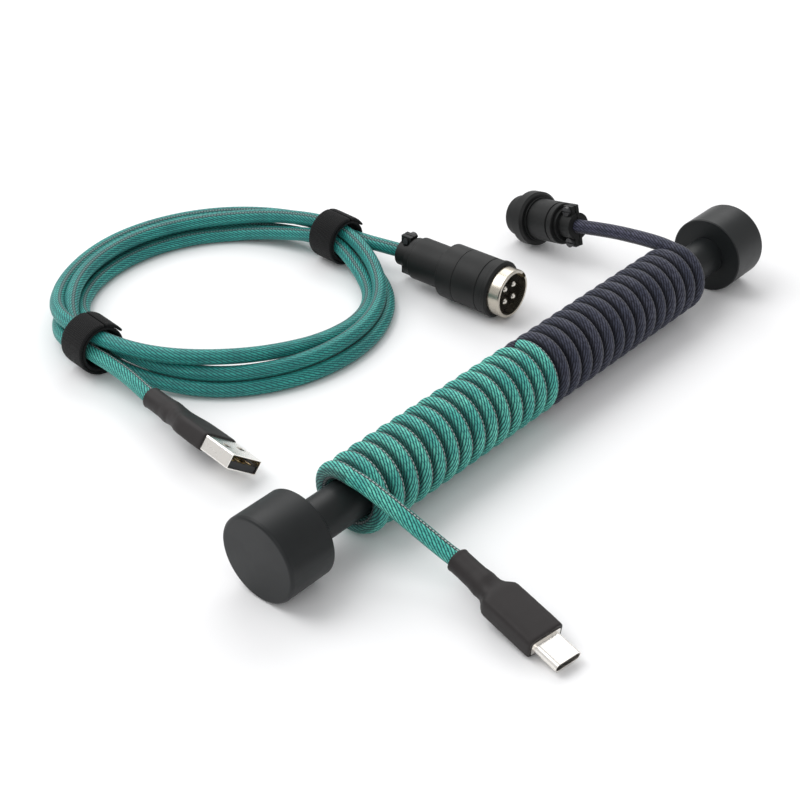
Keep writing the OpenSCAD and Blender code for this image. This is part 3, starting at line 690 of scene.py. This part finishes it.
goldContact = makeSolid("goldContact", {
    "colour": tint(214, 178, 104), "colourAlt": tint(224, 190, 116),
    "rough": 0.28, "metallic": 1.0, "relief": 0.04})
silverContact = makeSolid("silverContact", {
    "colour": tint(232, 228, 218), "colourAlt": tint(222, 218, 208),
    "rough": 0.22, "metallic": 1.0, "relief": 0.04})
studSteel = makeSolid("studSteel", {
    "colour": tint(176, 176, 178), "colourAlt": tint(166, 166, 168),
    "rough": 0.34, "metallic": 1.0, "relief": 0.06})
screwBlack = makeSolid("screwBlack", {
    "colour": tint(44, 44, 46), "colourAlt": tint(52, 52, 54), "rough": 0.4, "relief": 0.1})
boardGreen = makeSolid("boardGreen", {
    "colour": tint(24, 82, 50), "colourAlt": tint(30, 92, 56), "rough": 0.5, "relief": 0.1})
wireGrey = makeSolid("wireGrey", {
    "colour": tint(150, 152, 156), "colourAlt": tint(140, 142, 146), "rough": 0.5, "relief": 0.1})
nickelThread = makeSolid("nickelThread", {
    "colour": tint(206, 200, 188), "colourAlt": tint(190, 183, 170),
    "rough": 0.26, "metallic": 1.0, "scale": 2200.0, "relief": 0.08})

cadFinish = {
    "barbell_rod": blackAnodised, "near_cap": blackAnodised, "far_cap": blackAnodised,
    "near_stud": studSteel, "far_stud": studSteel,
    "usbc_collar": plugSteel, "usbc_shell": plugSteel, "usbc_liner": blackInsert,
    "usbc_contacts": goldContact, "usbc_board": boardGreen,
    "navy_back_shell": blackMetal, "navy_clamp_bar": blackMetal, "navy_clamp_screws": screwBlack,
    "navy_front_sleeve": blackMetal, "navy_coupling_nut": blackMetal, "navy_insert": blackInsert,
    "navy_sockets": goldContact, "navy_wires": wireGrey,
    "teal_back_shell": blackMetal, "teal_clamp_bar": blackMetal, "teal_clamp_screws": screwBlack,
    "teal_middle_sleeve": blackMetal, "teal_front_ring": blackMetal, "teal_thread_ring": nickelThread,
    "teal_insert": blackInsert, "teal_pins": silverContact, "teal_wires": wireGrey,
    "usba_shell": plugSteel, "usba_tongue": blackInsert, "usba_contacts": goldContact,
    "usba_board": boardGreen,
}
for name, mat in cadFinish.items():
    holder = nodes[name]
    holder.data.materials.clear()
    holder.data.materials.append(mat)
print("frame finishes set")


usbCBoot = {
    "place": "usbC", "sides": 56,
    "sections": [  # along, width, thickness, squareness (2 is an ellipse)
        (0.5, 5.0, 5.0, 2), (0.0, 5.2, 5.2, 2), (-0.25, 6.1, 6.1, 2), (0.0, 6.7, 6.7, 2),
        (1.0, 6.5, 6.4, 2), (4.0, 6.5, 6.4, 2), (7.0, 6.6, 6.5, 2),
        (8.6, 7.1, 6.8, 2), (9.8, 7.4, 6.9, 2), (10.8, 7.2, 6.5, 2.1), (12.0, 7.4, 6.1, 2.2),
        (13.2, 8.6, 6.0, 2.5),
        (14.2, 10.3, 6.2, 3.2), (15.0, 11.1, 6.3, 4.2), (16.0, 11.25, 6.3, 4.8),
        (22.0, 11.2, 6.25, 5.0), (28.0, 11.25, 6.25, 5.0),
        (30.6, 11.2, 6.2, 5.0), (31.1, 11.1, 6.1, 5.0), (31.25, 10.8, 5.8, 5.0), (31.2, 9.4, 4.1, 5.0),
        (30.2, 9.3, 4.0, 5.0), (24.0, 9.3, 4.0, 5.0)],
    "wrinkle": 0.012,
}
usbABoot = {
    "place": "usbA", "sides": 56,
    "sections": [
        (0.5, 5.0, 5.0, 2), (0.0, 5.2, 5.2, 2), (-0.25, 6.1, 6.1, 2), (0.0, 6.6, 6.5, 2),
        (1.0, 6.4, 6.3, 2), (4.5, 6.4, 6.3, 2), (7.4, 6.7, 6.5, 2),
        (9.2, 7.5, 6.9, 2.1), (10.6, 7.9, 6.8, 2.2), (11.8, 7.8, 6.4, 2.3), (13.8, 9.0, 5.9, 2.7),
        (16.6, 11.2, 5.75, 3.4),
        (18.4, 12.6, 5.7, 4.4), (19.8, 13.05, 5.65, 5.4), (24.5, 13.1, 5.65, 6.5),
        (29.8, 13.1, 5.6, 7.5), (30.45, 13.0, 5.5, 7.5),
        (30.7, 12.8, 5.3, 7.5), (30.7, 12.08, 4.58, 8.0), (29.5, 12.06, 4.56, 8.0),
        (25.5, 12.06, 4.56, 8.0)],
    "wrinkle": 0.016,
}


bootPlan = {"rowStep": 0.6, "plainRows": 14}  # the last rows, inside the mouth, are not wrinkled


def makeBoot(name, spec):
    place = placeAt(*places[spec["place"]])
    knots = spec["sections"]
    rows = []
    for i in range(len(knots) - 1):
        n = max(1, round(abs(knots[i + 1][0] - knots[i][0]) / bootPlan["rowStep"]))
        a, b = knots[i], knots[i + 1]
        rows += [tuple(a[k] + (b[k] - a[k]) * j / n for k in range(4)) for j in range(n)]
    rows.append(knots[-1])

    def pointAt(step, around):
        x, w, t, square = rows[step]
        a = 2 * pi * around
        y = copysign(abs(cos(a)) ** (2 / square), cos(a)) * w / 2
        z = copysign(abs(sin(a)) ** (2 / square), sin(a)) * t / 2
        ripple = noise.noise(Vector((x * 0.55, y * 0.5, z * 0.5))) * spec["wrinkle"]
        if x > 1 and step < len(rows) - bootPlan["plainRows"]:
            y, z = y * (1 + ripple * 0.6), z * (1 + ripple)
        return place @ (Vector((x, y, z)) * mm)

    bm = ringSkin(len(rows), spec["sides"], pointAt, lambda s, a: (a, s * 0.02), capEnds=False)
    return addPiece(name, bm, [heatShrink])


usbCBootPiece = makeBoot("usbCBoot", usbCBoot)
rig.ride(usbCBootPiece, "coiled_cable")
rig.slot(usbCBootPiece, "heat_shrink")
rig.replaces(usbCBootPiece, "usbc_boot")
usbABootPiece = makeBoot("usbABoot", usbABoot)
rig.ride(usbABootPiece, "straight_cable")
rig.slot(usbABootPiece, "heat_shrink")
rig.replaces(usbABootPiece, "usba_boot")
print("boots made")


def makeStrapMaterial():
    mat, n, shader = newMaterial("ribbedStrap", Sheen_Weight=0.05, Sheen_Roughness=0.5,
                                 Specular_IOR_Level=0.15)
    u, v, _ = n.split(n.place("UV"))
    rib = n.math("ABSOLUTE", n.math("SINE", n.math("MULTIPLY", u, pi)))
    half = n.math("MULTIPLY", n.math("FLOOR", u), 0.5)  # each rib half a thread on from the last
    weft = n.math("SINE", n.math("MULTIPLY", n.math("ADD", v, half), 2 * pi))
    fuzz = n.noise(n.place(), 2600.0, 3.0, 0.7)
    height = n.math("ADD", n.math("MULTIPLY_ADD", weft, 0.18, rib), n.math("MULTIPLY", fuzz, 0.5))
    # partly random fuzz in the tone, partly painted shade: darker in the low parts of the ribs and weave, lighter on
    # their tops
    n.put(shader["Base Color"], n.mix(n.span(height, 0.2, 1.5), tint(4, 4, 5), tint(24, 24, 25)))
    n.put(shader["Roughness"], n.span(fuzz, 0.3, 0.7, 0.7, 0.9))
    n.put(shader["Normal"], n.bump(height, 0.8, 0.0002))
    return mat


ribbedStrap = makeStrapMaterial()
tiePlan = {
    "width": 10.5, "innerR": 6.75, "outerR": 7.85, "thick": 1.06, "sides": 28, "height": 8.45,
    "widthPower": 0.22, "thickPower": 0.45, "ribs": 9.5, "ribRun": 0.9,
    "innerTurns": (0, 5, 72), "outerTurns": (81, 5, 55), "looseTurns": (78, -4.6, 8),  # from, step, count
    "endStraight": 2.4, "endSteps": 6, "endDroop": 0.04, "endThin": (0.75, 0.95, 1),
    "fray": 0.08, "frayStep": 0.7,
    "left": {"round": 172.9, "out": 50, "heading": -96}, "right": {"round": -3.2, "out": 48, "heading": -93},
}


def tiePlace(side):  # on the loop's middle line, turned to run with the strands
    spot = tiePlan[side]
    cx, cy = loopPlan["centre"]
    at = (cx + spot["out"] * cos(radians(spot["round"])), cy + spot["out"] * sin(radians(spot["round"])),
          tiePlan["height"])
    return placeAt(at, (0, 0, spot["heading"]))


def strapRun(turns, r):  # middle of the strap and the way it faces, at each step
    start, step, count = turns
    run = []
    for k in range(count):
        a = radians(start + k * step)
        run.append((Vector((0, cos(a) * r, sin(a) * r)), Vector((0, cos(a), sin(a)))))
    return run


def straightEnd(run):  # goes on straight past a run's last step, drooping a little
    last, outward = run[-1]
    onward = Vector((0, outward.z, -outward.y))
    steps = tiePlan["endSteps"]
    return [(last + onward * tiePlan["endStraight"] * k / steps - outward * tiePlan["endDroop"] * k, outward)
            for k in range(1, steps + 1)]


def makeStrap(place, run, closed):
    w, t = tiePlan["width"] / 2, tiePlan["thick"] / 2
    last = len(run) - 1

    def pointAt(step, around):
        mid, outward = run[step]
        a = 2 * pi * around
        across = copysign(abs(cos(a)) ** tiePlan["widthPower"], cos(a)) * w
        depth = copysign(abs(sin(a)) ** tiePlan["thickPower"], sin(a)) * t
        if not closed:
            depth *= tiePlan["endThin"][min(step, last - step, 2)]
        fray = noise.noise(Vector((step * tiePlan["frayStep"], across, 3.0))) * tiePlan["fray"]
        return place @ ((mid + outward * depth + Vector((across + fray, 0, 0))) * mm)

    def uvAt(s, a):
        c = cos(2 * pi * a)
        return copysign(abs(c) ** tiePlan["widthPower"], c) * tiePlan["ribs"] + 10, s * tiePlan["ribRun"]

    return ringSkin(len(run), tiePlan["sides"], pointAt, uvAt, closedRun=closed)


def joinMeshes(first, second):
    mesh = bpy.data.meshes.new("part")
    second.to_mesh(mesh)
    second.free()
    first.from_mesh(mesh)
    bpy.data.meshes.remove(mesh)
    return first


def makeTie(side, body):
    place = tiePlace(side)
    inner = makeStrap(place, strapRun(tiePlan["innerTurns"], tiePlan["innerR"]), True)
    outer = makeStrap(place, strapRun(tiePlan["outerTurns"], tiePlan["outerR"]), False)
    band = addPiece(side + "TieBand", joinMeshes(inner, outer), [ribbedStrap])
    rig.ride(band, "straight_cable")
    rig.slot(band, "hook_loop")
    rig.replaces(band, side + "_tie_band")
    loose = strapRun(tiePlan["looseTurns"], tiePlan["outerR"])
    tail = addPiece(side + "TieTail", makeStrap(place, loose + straightEnd(loose), False), [ribbedStrap])
    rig.ride(tail, body)
    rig.slot(tail, "hook_loop")
    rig.replaces(tail, side + "_tie_tail")
    return band, tail


leftBand, leftTail = makeTie("left", "left_tie_tail")
rightBand, rightTail = makeTie("right", "right_tie_tail")
print("ties made")


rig.cord(tealCord, exit=tealPath[0], length=0.815, diameter=0.0048, far_end="plug",
        stiffness="medium", lay="coiled", path=tealPath,
        with_pieces=[usbCBootPiece] + [nodes[k] for k in (
            "usbc_collar", "usbc_shell", "usbc_liner", "usbc_contacts", "usbc_board")])
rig.cord(navyCord, exit=navyPath[0], length=0.81, diameter=0.0048, far_end="connector",
        stiffness="medium", lay="coiled", path=navyPath,
        with_pieces=[nodes[k] for k in (
            "navy_back_shell", "navy_clamp_bar", "navy_clamp_screws", "navy_front_sleeve",
            "navy_coupling_nut", "navy_insert", "navy_sockets", "navy_wires")])
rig.cord(straightCord, exit=straightPath[0], length=1.155, diameter=0.0048, far_end="plug",
        stiffness="medium", lay="coiled", path=straightPath,
        with_pieces=[usbABootPiece, leftBand, leftTail, rightBand, rightTail] + [nodes[k] for k in (
            "usba_shell", "usba_tongue", "usba_contacts", "usba_board", "teal_back_shell",
            "teal_clamp_bar", "teal_clamp_screws", "teal_middle_sleeve", "teal_front_ring",
            "teal_thread_ring", "teal_insert", "teal_pins", "teal_wires")])


def makeFloor():
    bm = bmesh.new()
    bmesh.ops.create_grid(bm, x_segments=2, y_segments=2, size=4)
    mat, n, shader = newMaterial("paleFloor", Roughness=0.7, Specular_IOR_Level=0.2)
    n.put(shader["Base Color"], n.mix(n.noise(n.place(), 3.0), tint(244, 244, 245), tint(247, 247, 248)))
    floor = addPiece("floor", bm, [mat], smooth=False)
    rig.stage(floor)


lightPlan = {  # metres and watts
    "keyPanel": {"at": (-0.35, 0.75, 1.1), "toward": (0, 0.05, 0), "size": (1.0, 1.0), "power": 9.5},
    "fillPanel": {"at": (-1.0, -0.5, 0.8), "toward": (0, 0, 0), "size": (0.8, 0.8), "power": 1.8},
    "backPanel": {"at": (0.95, 0.7, 1.05), "toward": (0, 0, 0), "size": (1.3, 0.9), "power": 7.5},
}
skyStrength = 0.64


def makeLight(name, at, toward, size, power):
    lamp = bpy.data.lights.new(name, "AREA")
    lamp.shape = "RECTANGLE"
    lamp.size, lamp.size_y = size
    lamp.energy = power
    holder = bpy.data.objects.new(name, lamp)
    aim = (Vector(toward) - Vector(at)).to_track_quat("-Z", "Y")
    holder.matrix_world = Matrix.Translation(at) @ aim.to_matrix().to_4x4()
    bpy.context.scene.collection.objects.link(holder)


def makeSky():
    world = bpy.data.worlds.new("studio")
    bpy.context.scene.world = world
    world.use_nodes = True
    sky = world.node_tree.nodes["Background"].inputs
    sky["Color"].default_value = (1, 1, 1, 1)
    sky["Strength"].default_value = skyStrength


makeFloor()
makeSky()
for name, panel in lightPlan.items():
    makeLight(name, **panel)
bpy.context.scene.view_settings.view_transform = "Standard"
print("studio made")

with open("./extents.json", "w") as f:
    json.dump({"cad": [list(c) for c in cadBox], "visual": [list(c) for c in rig.bounds()]}, f)
